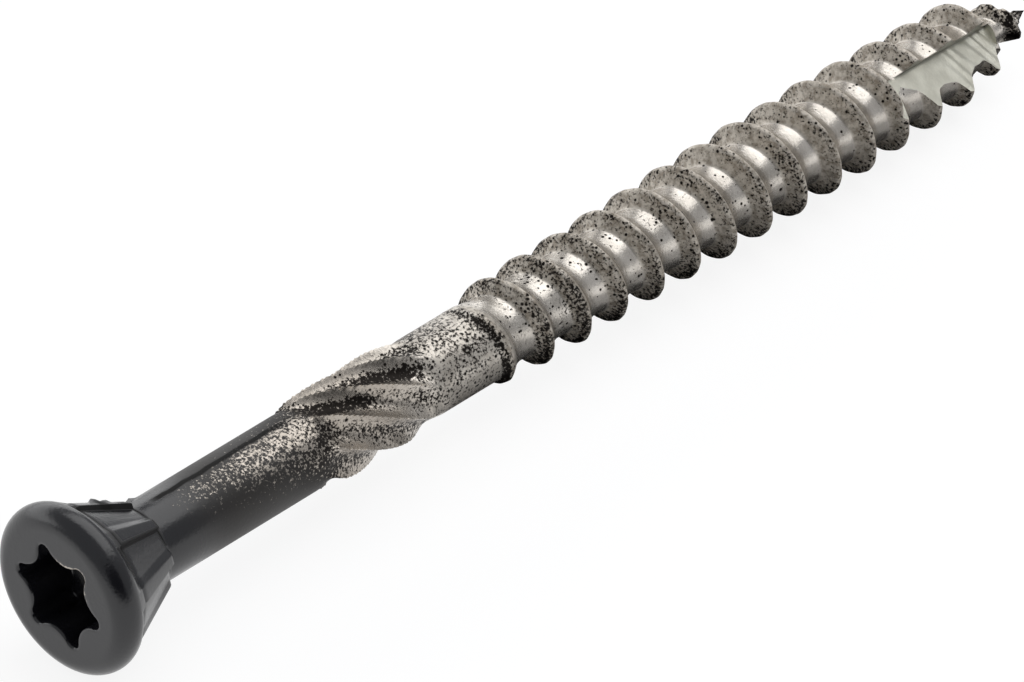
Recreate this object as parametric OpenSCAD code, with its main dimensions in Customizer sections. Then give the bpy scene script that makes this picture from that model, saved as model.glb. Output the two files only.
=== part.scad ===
// Countersunk wood screw with a six-lobed star drive: a head with cutting teeth
// under its rim, a plain shank, a reamer of twisted flutes, a coarse right-hand
// thread and a slotted gimlet point, all formed from one piece of wire.
// It lies on the floor as it comes to rest, with its head towards -X and its
// point towards +X, on the rim of its head and on its thread.
// Distances along the screw are measured from the flat of its head.

/* [Overall] */
// Length from the flat of the head to the point
screw_l = 60; // [54:0.5:72]
// Diameter of the wire, seen on the plain shank and just before the thread
shank_d = 3.62; // [3.3:0.02:3.9]
// Turn of the screw about its own axis as it lies on the floor
roll = 44.5; // [0:0.5:360]

/* [Head] */
// Diameter of the head at its widest ring
head_d = 7.66; // [7:0.02:8.4]
// Radius that rounds the rim between the flat face and the cone
rim_round = 0.8; // [0.5:0.05:1]
// Angle between the cone under the head and the axis
cone_angle = 29; // [25:0.5:34]

/* [Star recess] */
// Width of the recess across the tips of two opposite lobes
star_d = 4.62; // [4:0.02:4.9]
// Width of the recess across two opposite ribs between the lobes
star_rib_d = 3.34; // [3:0.02:3.5]
// Radius of the tip of a lobe
lobe_tip_r = 0.37; // [0.32:0.01:0.4]
// Depth of the straight part of the recess
star_depth = 2.3; // [1.5:0.1:2.6]
// Depth of the hollow cone at the bottom of the recess
star_cone_h = 0.6; // [0.2:0.1:0.8]
// Height of the eased edge round the mouth of the recess
mouth_h = 0.14; // [0.06:0.02:0.3]
// How far the eased edge spreads past the lobes
mouth_spread = 0.12; // [0.04:0.02:0.2]
// Turn of the star from the start of the angles round the screw
star_turn = 23.7; // [0:0.1:60]

/* [Cutting teeth] */
// Number of cutting teeth under the head
tooth_count = 8; // [6:1:10]
// Distance from the face to the front of the teeth
tooth_start = 1.6; // [1.4:0.05:1.9]
// Distance from the face to the step behind the teeth
tooth_end = 4.6; // [4.2:0.05:5]
// How far a tooth stands out past the shank at its back step
tooth_step = 0.32; // [0.15:0.01:0.45]
// Depth of the hollows between the teeth
tooth_hollow = 0.22; // [0.1:0.01:0.3]
// Turn of the first tooth's wall
tooth_turn = 37.5; // [0:0.5:60]

/* [Reamer] */
// Distance from the face to the start of the flutes
reamer_start = 13.7; // [11:0.1:15]
// Length of the fluted stretch
reamer_l = 7.7; // [6:0.1:9]
// Number of flutes
flute_count = 8; // [6:1:9]
// Diameter over the ridges between the flutes
ridge_d = 4.26; // [4:0.02:4.6]
// Diameter at the bottom of the flutes
flute_d = 3.06; // [2.8:0.02:3.3]
// Length in which a flute would go once round the screw
flute_lead = 24.2; // [18:0.1:40]
// Turn of the first ridge where the flutes start
ridge_turn = 57.2; // [0:0.1:60]
// Length in which the flutes sink to their full depth
flute_swell = 1.3; // [0.8:0.1:2]
// Length in which the flutes run out again
flute_fade = 2.6; // [1.5:0.1:3.5]

/* [Thread] */
// Length of plain wire between the reamer and the thread's first crest
collar_l = 2.4; // [2.1:0.1:4]
// Distance from one turn of the thread to the next
pitch = 2.2545; // [2:0.05:2.6]
// Largest diameter over the thread
thread_d = 4.96; // [4.8:0.02:5.2]
// Diameter over the first full turns
thread_first_d = 4.54; // [4.3:0.02:4.8]
// Diameter over the last full turns before the point
thread_last_d = 4.4; // [4.2:0.02:4.8]
// Diameter at the bottom of the thread
core_d = 3.17; // [2.9:0.02:3.4]
// Width of the thread's crest
crest_w = 0.18; // [0.1:0.02:0.3]
// Length along the screw of the steep flank, which faces the head
head_flank = 0.24; // [0.2:0.02:0.4]
// Length along the screw of the flank that faces the point
point_flank = 0.54; // [0.4:0.02:0.7]
// Length of the tapered point
point_l = 5.2; // [4.6:0.1:6]

/* [Slot in the point] */
// Length of the slot, measured back from the point
slot_l = 9.75; // [7:0.05:11]
// Length of the point in front of the slot, which stays whole
slot_stop = 2.7; // [2.2:0.1:3.4]
// Slope of the slot's floor towards the axis
slot_slope = 9.6; // [9:0.1:11]
// Direction that the slot's floor faces, round the axis
slot_turn = 83; // [60:1:110]
// How far the wall of the slot stands past the axis
slot_wall = 0.25; // [0:0.05:0.5]

/* [Hidden] */

paint_colour = [0.2, 0.2, 0.21];
steel_colour = [0.72, 0.7, 0.66];

// Faces on the round stretches, how far a cut runs past the skin it opens, and
// the small step where one stretch of the screw ends on the next.
round_steps = 96;
sink = 0.02;
small_step = 0.03;

shank_r = shank_d / 2;
core_r = core_d / 2;
thread_start = reamer_start + reamer_l + collar_l;

// The rim is an arc whose centre lies rim_round behind the face.
rim_centre_r = head_d / 2 - rim_round;
rim_steps = 10;

// Radius of the cone under the head, which touches the arc of the rim.
function cone_r(z) = rim_centre_r + rim_round * cos(cone_angle)
    - (z - rim_round * (1 + sin(cone_angle))) * tan(cone_angle);

// Half of a section through the disc of the head, [radius, distance].
function disc_outline() = concat(
    [[0, 0]],
    [for (i = [0:rim_steps])
        let (a = 90 - i * (90 + cone_angle) / rim_steps)
        [rim_centre_r + rim_round * cos(a), rim_round * (1 - sin(a))]],
    [[cone_r(tooth_start), tooth_start], [0, tooth_start]]
);

// A star with round tips and round ribs, whose arcs meet smoothly. The radius
// of a rib follows from the tips that it has to touch.
lobe_count = 6;
lobe_angle = 360 / lobe_count;
star_steps = 6;
tip_centre = star_d / 2 - lobe_tip_r;
rib_r = (pow(tip_centre, 2) + pow(star_rib_d / 2, 2)
    - tip_centre * star_rib_d * cos(lobe_angle / 2) - pow(lobe_tip_r, 2))
    / (2 * (lobe_tip_r - star_rib_d / 2 + tip_centre * cos(lobe_angle / 2)));
rib_centre = star_rib_d / 2 + rib_r;
// Direction from the middle of a tip to the middle of the rib beside it.
join_angle = atan2(rib_centre * sin(lobe_angle / 2), rib_centre * cos(lobe_angle / 2) - tip_centre);
function around(middle, r, a) = middle + r * [cos(a), sin(a)];
function star_outline() = [for (lobe = [0:lobe_count - 1])
    let (tip = lobe * lobe_angle, rib = tip + lobe_angle / 2)
    each concat(
        [for (i = [-star_steps:star_steps])
            around(around([0, 0], tip_centre, tip), lobe_tip_r, tip + join_angle * i / star_steps)],
        [for (i = [1:2 * star_steps - 1])
            around(around([0, 0], rib_centre, rib), rib_r,
                rib + 180 + (join_angle - lobe_angle / 2) * (1 - i / star_steps))]
    )];

// The corner at a distance along the screw, an angle round it and a radius.
function on_screw(z, a, r) = [r * cos(a), r * sin(a), z];

// A closed skin through rings of corners, with a flat end at the first and last.
module ring_loft(rings) {
    n = len(rings[0]);
    last = (len(rings) - 1) * n;
    start_mid = last + n;
    end_mid = start_mid + 1;
    corners = concat(
        [for (ring = rings) each ring],
        [[0, 0, rings[0][0].z], [0, 0, rings[len(rings) - 1][0].z]]
    );
    sides = [for (row = [0:len(rings) - 2], i = [0:n - 1])
        let (a = row * n + i, b = row * n + (i + 1) % n)
        each [[a, a + n, b + n], [a, b + n, b]]];
    ends = [for (i = [0:n - 1])
        let (j = (i + 1) % n)
        each [[start_mid, i, j], [end_mid, last + j, last + i]]];
    polyhedron(points = corners, faces = concat(sides, ends));
}

// The cone under the disc is cut into teeth. A tooth climbs from its hollow to a
// narrow land whose front is a sharp step. Each pair is the share of a tooth's
// width and the share of its height.
tooth_form = [[0.02, 0], [0.2, 0], [0.4, 0.02], [0.6, 0.2], [0.75, 0.9], [1, 1]];
function tooth_ring(z, low, high) = [for (k = [0:tooth_count - 1], p = tooth_form)
    on_screw(z, tooth_turn + (k + p[0]) * 360 / tooth_count, low + p[1] * (high - low))];

module toothed_cone() {
    front = cone_r(tooth_start);
    ring_loft([
        tooth_ring(tooth_start, front - tooth_hollow, front - small_step),
        tooth_ring(tooth_end, shank_r + small_step, shank_r + tooth_step)
    ]);
}

module star_recess() {
    rotate([0, 0, star_turn]) {
        translate([0, 0, -sink]) linear_extrude(star_depth + sink) polygon(star_outline());
        translate([0, 0, star_depth - sink])
            cylinder(r1 = star_rib_d / 2, r2 = 0.1, h = star_cone_h, $fn = 48);
        translate([0, 0, mouth_h]) mirror([0, 0, 1])
            linear_extrude(mouth_h + sink, scale = 1 + 2 * mouth_spread / star_d)
                polygon(star_outline());
    }
}

module head() {
    difference() {
        union() {
            rotate_extrude($fn = round_steps) polygon(disc_outline());
            toothed_cone();
        }
        star_recess();
    }
}

module shank() {
    translate([0, 0, tooth_end])
        cylinder(r = shank_r, h = reamer_start - tooth_end, $fn = round_steps);
}

// Shares of a flute's width and of its depth, from ridge to ridge: the ridge is
// narrow and the flute between two ridges is a round hollow.
flute_form = [[0, 0], [0.1, 0.45], [0.28, 0.9], [0.5, 1], [0.72, 0.9], [0.9, 0.45]];
reamer_rows = 16;

// How much of its full depth a flute has at a distance along the screw.
function flute_share(z) = lookup(z, [
    [reamer_start, 0],
    [reamer_start + flute_swell, 1],
    [reamer_start + reamer_l - flute_fade, 1],
    [reamer_start + reamer_l, 0]
]);

function flute_ring(z) = [for (k = [0:flute_count - 1], p = flute_form)
    let (
        a = ridge_turn + (k + p[0]) * 360 / flute_count + (z - reamer_start) * 360 / flute_lead,
        full = ridge_d / 2 - p[1] * (ridge_d - flute_d) / 2,
        plain = shank_r - small_step
    )
    on_screw(z, a, plain + flute_share(z) * (full - plain))];

module reamer() {
    ring_loft([for (i = [0:reamer_rows]) flute_ring(reamer_start + reamer_l * i / reamer_rows)]);
}

// How the thread grows from its first diameter to its largest: share of the
// threaded length, and share of the growth.
thread_growth = [[0.25, 0.32], [0.45, 1], [0.65, 0.9]];
first_rise = 0.4;
first_share = 0.35;
full_rise = 2.4;
// Where the wire starts to sink to the bottom of the thread, and where it has sunk.
root_start = 0.6;
root_end = 2;
// Over the point: share of its length that is left, and share of the radius.
crest_taper = [[0.85, 1], [0.55, 0.66], [0.37, 0.44], [0.25, 0.34], [0.13, 0.25], [0.05, 0]];
core_taper = [[1.2, 1], [0.85, 0.78], [0.58, 0.48], [0.23, 0.22], [0, 0]];

// Radius at the bottom of the thread, and over its crest, along the screw.
function root_r(z) = lookup(z, concat(
    [[thread_start + root_start, shank_r], [thread_start + root_end, core_r]],
    [for (p = core_taper) [screw_l - p[0] * point_l, p[1] * core_r]]
));
function crest_r(z) = lookup(z, concat(
    [[thread_start, shank_r],
        [thread_start + first_rise, shank_r + first_share * (thread_first_d / 2 - shank_r)],
        [thread_start + full_rise, thread_first_d / 2]],
    [for (p = thread_growth)
        [thread_start + p[0] * (screw_l - thread_start),
            (thread_first_d + p[1] * (thread_d - thread_first_d)) / 2]],
    [for (p = crest_taper) [screw_l - p[0] * point_l, p[1] * thread_last_d / 2]]
));

// The thread is a strip as wide as one pitch, wound round the screw, so that the
// end of each turn joins the start of the next and the crest is one clean line.
// One pitch of its section: distance along the screw from the middle of the crest,
// and share of the thread's height. The steep flank faces the head.
half_crest = crest_w / 2;
flank_foot = 0.08;
thread_form = [
    [-pitch / 2, 0],
    [-half_crest - head_flank - flank_foot, 0],
    [-half_crest - head_flank * 0.85, 0.12],
    [-half_crest, 0.96],
    [half_crest * 0.2, 1],
    [half_crest, 0.95],
    [half_crest + point_flank * 0.85, 0.13],
    [half_crest + point_flank + flank_foot, 0]
];
form_n = len(thread_form);
turn_steps = 30;
lead_in = 90;
// Length of the plain needle left in front of the wound strip.
needle_l = 0.15;
strip_l = screw_l - needle_l - thread_start + pitch * lead_in / 360;
strip_steps = floor((strip_l / pitch + 0.5) * turn_steps);

function thread_corner(i, p) =
    let (
        a = i * 360 / turn_steps - lead_in,
        crest_z = thread_start + pitch * a / 360,
        z = crest_z + p[0],
        root = root_r(z)
    )
    on_screw(z, a, root + p[1] * max(0, crest_r(crest_z) - root));

module thread() {
    base_z = reamer_start + reamer_l;
    whole = strip_steps - turn_steps;
    // Corners: the base ring, then each step's section, then the last turn's
    // front edge and the point itself.
    base_ring = [for (i = [0:turn_steps - 1])
        on_screw(base_z, i * 360 / turn_steps - lead_in, shank_r)];
    strip = [for (i = [0:whole], p = thread_form) thread_corner(i, p)];
    front = [for (i = [whole + 1:strip_steps]) thread_corner(i, thread_form[0])];
    corners = concat(base_ring, strip, front, [[0, 0, screw_l]]);
    apex = len(corners) - 1;
    // Number of the corner at step i and place j of the section.
    function at(i, j) = j == form_n ? at(i + turn_steps, 0)
        : i <= whole ? turn_steps + i * form_n + j
        : turn_steps + (whole + 1) * form_n + i - whole - 1;
    wound = [for (i = [0:whole - 1], j = [0:form_n - 1])
        each [[at(i, j), at(i + 1, j + 1), at(i + 1, j)], [at(i, j), at(i, j + 1), at(i + 1, j + 1)]]];
    skirt = [for (i = [0:turn_steps - 2])
        each [[i, at(i, 0), at(i + 1, 0)], [i, at(i + 1, 0), i + 1]]];
    // The seam, where the first turn runs back over the base ring.
    seam_foot = turn_steps - 1;
    seam = concat(
        [[seam_foot, at(0, 0), 0]],
        [for (j = [0:form_n - 1]) [seam_foot, at(0, j + 1), at(0, j)]],
        [[seam_foot, at(turn_steps - 1, 0), at(turn_steps, 0)]]
    );
    tip = [for (i = [whole + 1:strip_steps - 1]) [at(i, 0), apex, at(i + 1, 0)]];
    tip_seam = concat(
        [for (j = [0:form_n - 1]) [at(whole + 1, 0), at(whole, j), at(whole, j + 1)]],
        [[at(whole + 1, 0), at(strip_steps, 0), apex]]
    );
    polyhedron(
        points = corners,
        faces = concat([[for (i = [0:turn_steps - 1]) i]], skirt, seam, wound, tip, tip_seam)
    );
}

// A quarter of the screw is cut away before the point: a floor that slopes down to
// the axis, and a wall square to it. The cut starts in the air over the core.
slot_lead = 1;
module slot() {
    reach = thread_d;
    rotate([0, 0, slot_turn]) translate([core_r, 0, screw_l - slot_l])
        rotate([0, -slot_slope, 0]) translate([0, -slot_wall, -slot_lead])
            cube([reach, reach, slot_lead + slot_l - slot_stop]);
}

module threaded_end() {
    difference() {
        thread();
        slot();
    }
}

// Lays the screw on its side. The crests that face the floor are tried in turn,
// and the one that meets it at the smallest slope bears the screw.
bearing_end = screw_l - crest_taper[0][0] * point_l;
turns_tried = 40;
floor_side = 270;
contact_z = [for (k = [0:turns_tried])
    let (z = thread_start + pitch * ((floor_side - roll) / 360 + k))
    if (z < bearing_end) z];
function slope_to(z) =
    let (a = crest_r(z) - rim_centre_r, b = z - rim_round)
    asin(rim_round / norm([a, b])) - atan2(a, b);
nose_down = min([for (z = contact_z) slope_to(z)]);
lay_height = rim_centre_r * cos(nose_down) + rim_round * sin(nose_down) + rim_round;

module lay_down() {
    translate([-screw_l / 2, 0, lay_height]) rotate([0, 90 + nose_down, 0])
        rotate([0, 0, 90 + roll]) children();
}

module screw() {
    lay_down() {
        color(paint_colour) head();
        color(steel_colour) {
            shank();
            reamer();
            threaded_end();
        }
    }
}

screw();
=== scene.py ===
# %% [markdown]
# # A star drive screw, made from formulas
# The real screw is one piece of steel wire. A press forms its head and the star
# in it, dies roll its flutes and its thread, and a saw mills a slot in its point.
# The head is then painted, and the paint runs out along the shank in a spray of
# ever fewer specks. This lesson builds that one piece as one closed mesh, whose
# every point comes from a formula, and gives it paint and bare steel.

# %% Load the frame
import math

import bpy
import numpy as np
from mathutils import Matrix, Vector


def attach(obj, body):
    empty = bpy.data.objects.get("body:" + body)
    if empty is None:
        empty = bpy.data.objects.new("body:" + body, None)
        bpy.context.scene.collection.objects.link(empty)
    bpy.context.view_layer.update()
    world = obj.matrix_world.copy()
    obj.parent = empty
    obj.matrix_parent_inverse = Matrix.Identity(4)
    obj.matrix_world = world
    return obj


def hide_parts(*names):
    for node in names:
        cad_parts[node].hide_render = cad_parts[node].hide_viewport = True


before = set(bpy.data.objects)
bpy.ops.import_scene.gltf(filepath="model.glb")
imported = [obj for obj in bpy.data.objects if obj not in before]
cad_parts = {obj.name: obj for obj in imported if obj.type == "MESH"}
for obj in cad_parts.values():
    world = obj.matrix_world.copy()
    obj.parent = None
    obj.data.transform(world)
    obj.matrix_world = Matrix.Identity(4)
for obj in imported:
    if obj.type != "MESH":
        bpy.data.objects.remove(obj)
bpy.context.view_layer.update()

# %% [markdown]
# ## Sizes
# All lengths here are in millimetres, counted along the screw from the flat of
# its head, and all angles are in degrees round it. They are the real screw's own
# sizes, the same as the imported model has, so that the fine mesh lies on it.

# %% Sizes of the screw
MM = 0.001
SCREW_L = 60.0
SHANK_R = 1.81
RIM_ROUND = 0.8
RIM_CENTRE_R = 3.83 - RIM_ROUND
CONE_ANGLE = 29.0

STAR_TIP_CENTRE = 1.94
STAR_TIP_R = 0.37
STAR_RIB_INNER = 1.67
STAR_RIB_R = 1.058
STAR_DEPTH = 2.3
STAR_CONE_H = 0.58
STAR_TURN = 23.7
MOUTH_H = 0.14
MOUTH_SPREAD = 0.12

TOOTH_COUNT = 8
TOOTH_START = 1.6
TOOTH_END = 4.6
TOOTH_STEP = 0.32
TOOTH_HOLLOW = 0.22
TOOTH_TURN = 37.5

REAMER_START = 13.7
REAMER_L = 7.7
FLUTE_COUNT = 8
RIDGE_R = 2.13
FLUTE_R = 1.53
FLUTE_LEAD = 24.2
RIDGE_TURN = 57.2

THREAD_START = 23.8
PITCH = 2.2545
THREAD_R = 2.48
THREAD_FIRST_R = 2.27
THREAD_LAST_R = 2.2
CORE_R = 1.585
CREST_W = 0.18
HEAD_FLANK = 0.24
POINT_FLANK = 0.54
POINT_L = 5.2

SLOT_L = 9.75
SLOT_STOP = 2.7
SLOT_SLOPE = 9.6
SLOT_TURN = 83.0
SLOT_WALL = 0.25

# %% [markdown]
# ## From the screw to the floor
# The screw is worked out standing on its point's axis, and then laid down: it is
# turned about its own axis, tipped until its rim and its thread touch the floor,
# and lifted by the height at which its rim rests.

# %% Lay the screw down
ROLL = 44.5
NOSE_DOWN = 1.68915
LAY_HEIGHT = (
    RIM_CENTRE_R * math.cos(math.radians(NOSE_DOWN))
    + RIM_ROUND * math.sin(math.radians(NOSE_DOWN)) + RIM_ROUND)
LAY = (
    Matrix.Translation(Vector((-SCREW_L / 2, 0, LAY_HEIGHT)))
    @ Matrix.Rotation(math.radians(90 + NOSE_DOWN), 4, "Y")
    @ Matrix.Rotation(math.radians(90 + ROLL), 4, "Z")
)


def placed(points, matrix):
    """Points turned by the first three columns of a matrix and moved by its fourth."""
    turn = np.array(matrix)
    return points @ turn[:3, :3].T + turn[:3, 3]


def laid_down(points):
    """Points in the screw's own frame, in mm, as points of the scene in metres: each
    is turned and lifted by the LAY matrix and then scaled to metres."""
    return placed(points, LAY) * MM


print("the axis is", round(LAY_HEIGHT, 3), "mm over the floor at the head")

# %% [markdown]
# ## Camera
# The photograph was taken from the head's side and above, through a long lens, so
# that the far turns of the thread look nearly as large as the near ones.

# %% Camera
CAMERA_AT = Vector((-223.797, -213.457, 225.856)) * MM
CAMERA_BACK = Vector((-0.58061, -0.56192, 0.58918))
CAMERA_RIGHT = Vector((0.68450, -0.72872, -0.02045))
CAMERA_LENS = 316.16


def turned_camera(name, place, back, right, lens):
    """A camera whose view runs against `back` and whose picture's x axis is `right`.
    The third axis is their cross product, and `right` is squared up to both."""
    data = bpy.data.cameras.new(name)
    data.lens = lens
    data.sensor_width = 36
    data.clip_start = 0.01
    data.clip_end = 10
    camera = bpy.data.objects.new(name, data)
    z = back.normalized()
    y = z.cross(right).normalized()
    x = y.cross(z)
    camera.matrix_world = Matrix((
        (x.x, y.x, z.x, place.x),
        (x.y, y.y, z.y, place.y),
        (x.z, y.z, z.z, place.z),
        (0, 0, 0, 1),
    ))
    bpy.context.scene.collection.objects.link(camera)
    return camera


bpy.context.scene.camera = turned_camera(
    "photo_camera", CAMERA_AT, CAMERA_BACK, CAMERA_RIGHT, CAMERA_LENS)

# %% [markdown]
# ## Head, shank and reamer: rings along the axis
# From the bottom of the star to the end of the flutes, every cross-section is one
# closed ring. A ring is a radius for each angle round the screw, so the whole
# stretch is a grid: one row for each ring, one column for each angle. All rows
# share the same angles, and the grid is closed by joining the last column to the
# first.

# %% Angles round the screw
ROUND = 288
AROUND = np.arange(ROUND) * 360.0 / ROUND


def cosd(a):
    return np.cos(np.radians(a))


def sind(a):
    return np.sin(np.radians(a))


def smooth(a, b, x):
    """0 before a, 1 after b, and 3t squared minus 2t cubed between them. With a past b
    it falls from 1 to 0."""
    t = np.clip((x - a) / (b - a), 0, 1)
    return t * t * (3 - 2 * t)


def turned_from(a, at):
    """Angle from `at` to `a`, between -180 and 180 degrees."""
    return (a - at + 180) % 360 - 180


def star_radius(a):
    """The star's outline as a radius for each angle. Near a lobe it is where the ray
    meets the lobe's tip circle, c cos(a) + sqrt(q^2 - c^2 sin^2(a)), and elsewhere
    where it first meets the rib's circle, m cos(b) - sqrt(R^2 - m^2 sin^2(b)), with b
    measured from the middle of the rib."""
    lobe = (a - STAR_TURN + 30) % 60 - 30
    rib = np.abs(lobe) - 30
    middle = STAR_RIB_INNER + STAR_RIB_R
    reach = middle * cosd(30) - STAR_TIP_CENTRE
    join = np.arctan2(middle * sind(30), reach)
    share = np.degrees(np.arctan2(
        STAR_TIP_R * np.sin(join), STAR_TIP_CENTRE + STAR_TIP_R * np.cos(join)))
    inside = np.maximum(STAR_TIP_R ** 2 - (STAR_TIP_CENTRE * sind(lobe)) ** 2, 0)
    tip = STAR_TIP_CENTRE * cosd(lobe) + np.sqrt(inside)
    past = np.maximum(STAR_RIB_R ** 2 - (middle * sind(rib)) ** 2, 0)
    rib_side = middle * cosd(rib) - np.sqrt(past)
    return np.where(np.abs(lobe) < share, tip, rib_side)


print("star:", star_radius(STAR_TURN), "mm to a lobe,", star_radius(STAR_TURN + 30), "to a rib")

# %% [markdown]
# ### Star recess and face
# The punch leaves a straight-sided star with a shallow cone at its bottom, and
# its mouth is eased, which the photo shows as a thin bright line. Outside the
# mouth the face is flat up to the arc that rounds the rim.

# %% Rings of the recess, the face and the rim
STAR = star_radius(AROUND)
FIRST_RING_R = 0.02
BOTTOM_EDGE = 0.04
BOTTOM_SHARES = (0.0, 0.35, 0.7, 1.0)
WALL_DEPTHS = (1.7, 1.1, 0.6, 0.3)
MOUTH_STEPS = (0, 25, 50, 70, 90)
FACE_SHARES = (0.15, 0.35, 0.6, 0.85)
RIM_STEPS = 17


def recess_rings():
    """Depth falls from the cone's apex to the mouth. Inside the cone the rings grow
    from a point to the ribs' circle, then to the star; in the mouth they ease
    outwards along a quarter of an ellipse."""
    rings = []
    growth = STAR_RIB_INNER - BOTTOM_EDGE - FIRST_RING_R
    for share in BOTTOM_SHARES:
        depth = STAR_DEPTH + STAR_CONE_H * (1 - share)
        rings.append((depth, np.full(ROUND, FIRST_RING_R + share * growth)))
    rings.append((STAR_DEPTH, STAR - BOTTOM_EDGE))
    rings.append((STAR_DEPTH - BOTTOM_EDGE, STAR))
    for depth in WALL_DEPTHS:
        rings.append((depth, STAR))
    for a in MOUTH_STEPS:
        rings.append((MOUTH_H * (1 - sind(a)), STAR + MOUTH_SPREAD * (1 - cosd(a))))
    return rings


def face_rings():
    """From the mouth to the rim's arc: each ring is a mix of the star and the circle."""
    inner = STAR + MOUTH_SPREAD
    return [(0.0, inner + share * (RIM_CENTRE_R - inner)) for share in FACE_SHARES]


def cone_radius(z):
    """The cone that touches the rim's arc: it loses tan(cone angle) for each mm."""
    touch = RIM_ROUND * (1 + sind(CONE_ANGLE))
    slope = math.tan(math.radians(CONE_ANGLE))
    return RIM_CENTRE_R + RIM_ROUND * cosd(CONE_ANGLE) - (z - touch) * slope


def rim_rings():
    """An arc about the rim's centre: radius plus R cos(a), depth R (1 - sin a)."""
    rings = []
    for a in np.linspace(90, -CONE_ANGLE, RIM_STEPS):
        radius = RIM_CENTRE_R + RIM_ROUND * cosd(a)
        rings.append((RIM_ROUND * (1 - sind(a)), np.full(ROUND, radius)))
    return rings


# %% [markdown]
# ### Cutting teeth
# Under the rim eight saw teeth cut the countersink. Each climbs from a hollow to a
# narrow land and drops down a sharp wall, and all of them end in a step over the
# shank. Thick paint has left a few lumps on them and behind them.

# %% Rings of the teeth
TOOTH_FORM_AT = (0.0, 0.03, 0.2, 0.4, 0.6, 0.75, 1.0)
TOOTH_FORM = (1.0, 0.0, 0.0, 0.03, 0.2, 0.9, 1.0)
TOOTH_GAP = 0.03
TOOTH_ROWS = np.concatenate([(0.01, 0.03), np.linspace(0.07, 0.97, 20)])
GROOVE_DEPTH = 0.07
GROOVE_SHARE = 0.09
FRONT_EDGE = 0.02
BACK_EDGE = ((-0.02, 0.01), (0.0, 0.05))
STEP_FOOT = (TOOTH_END + 0.01, SHANK_R + 0.02)
LUMP_R = 2.2
PAINT_LUMPS = (
    (3.15, 22, 0.27, 0.2), (3.6, 27, 0.12, 0.16), (5.3, 5, 0.14, 0.2), (4.95, 18, 0.08, 0.15))


def tooth_share(a):
    """Height of the teeth, from 0 to 1, for each angle: the saw form of one tooth,
    repeated by taking the angle's phase within its tooth."""
    phase = ((a - TOOTH_TURN) * TOOTH_COUNT / 360) % 1
    return np.interp(phase, TOOTH_FORM_AT, TOOTH_FORM)


def lump(z, a, at_z, at_a, height, size):
    """A lump: height times exp(-(d / size)^2), with d in mm from its middle. The way
    round the screw counts as on a radius of LUMP_R."""
    round_way = np.radians(turned_from(a, at_a)) * LUMP_R
    return height * np.exp(-((z - at_z) ** 2 + round_way ** 2) / size ** 2)


def lumps(z, a):
    """All lumps of paint together, as a height over the metal."""
    return sum(lump(z, a, *place) for place in PAINT_LUMPS)


def tooth_rings():
    """A ruled surface between the front ring under the rim and the back ring over the
    shank, with a groove in front and a rounded edge behind."""
    form = tooth_share(AROUND)
    front_r = cone_radius(TOOTH_START)
    front = front_r - TOOTH_HOLLOW + form * (TOOTH_HOLLOW - TOOTH_GAP)
    back = SHANK_R + TOOTH_GAP + form * (TOOTH_STEP - TOOTH_GAP)
    rings = [(TOOTH_START, np.minimum(front + FRONT_EDGE, front_r))]
    for share in TOOTH_ROWS:
        z = TOOTH_START + share * (TOOTH_END - TOOTH_START)
        groove = GROOVE_DEPTH * (1 - smooth(0.0, GROOVE_SHARE, share))
        rings.append((z, front + share * (back - front) - groove + lumps(z, AROUND)))
    for past_end, drop in BACK_EDGE:
        rings.append((TOOTH_END + past_end, back - drop))
    foot_z, foot_r = STEP_FOOT
    rings.append((foot_z, np.full(ROUND, foot_r)))
    return rings


# %% [markdown]
# ### Shank and reamer
# The shank is plain wire. The reamer's flutes are rolled into it: sharp ridges with
# round hollows between them, which twist to the right like the thread.

# %% Rings of the shank and the reamer
SHANK_FIRST = TOOTH_END + 0.12
SHANK_RUN = REAMER_START - 0.42 - TOOTH_END
SHANK_ROWS = SHANK_FIRST + SHANK_RUN * np.linspace(0, 1, 22) ** 1.6
REAMER_ROWS = np.linspace(REAMER_START - 0.2, REAMER_START + REAMER_L + 0.1, 58)
FLUTES_GROW = (REAMER_START - 0.1, REAMER_START + 1.3)
FLUTES_FADE = (REAMER_START + REAMER_L - 2.4, REAMER_START + REAMER_L)
HOLLOW_POWER = 0.62


def flute_depth(z):
    """Share of their depth that the flutes have: it grows quickly and fades slowly."""
    return smooth(*FLUTES_GROW, z) * (1 - smooth(*FLUTES_FADE, z))


def flute_phase(z, a):
    """Place between two ridges, from 0 to 1. It turns with the distance, which makes
    the twist."""
    turn = RIDGE_TURN + (z - REAMER_START) * 360 / FLUTE_LEAD
    return ((a - turn) * FLUTE_COUNT / 360) % 1


def reamer_radius(z, a):
    """Radius at a distance and an angle. The phase p between two ridges gives a hollow
    of depth sin(pi p) to a power under 1, which is round below and sharp at the
    ridges."""
    hollow = np.sin(np.pi * flute_phase(z, a)) ** HOLLOW_POWER
    full = RIDGE_R - hollow * (RIDGE_R - FLUTE_R)
    return SHANK_R + flute_depth(z) * (full - SHANK_R)


def shank_rings():
    return [(z, SHANK_R + lumps(z, AROUND)) for z in SHANK_ROWS]


def reamer_rings():
    return [(z, reamer_radius(z, AROUND)) for z in REAMER_ROWS]


body_rings = recess_rings() + face_rings() + rim_rings() + tooth_rings()
body_rings = body_rings + shank_rings() + reamer_rings()
print(len(body_rings), "rings of", ROUND, "points from the star to the reamer")

# %% [markdown]
# ## Thread: a strip wound round the core
# A thread can't be rings, because its crest would be cut into steps. Here one
# pitch of its section is a strip of points from one gap to the next, and the strip
# is wound round the screw. The end of one turn joins the start of the next, so the
# skin has no seam and the crest is one clean line. The grid's two parameters are
# the turn and the place across the pitch.

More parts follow.
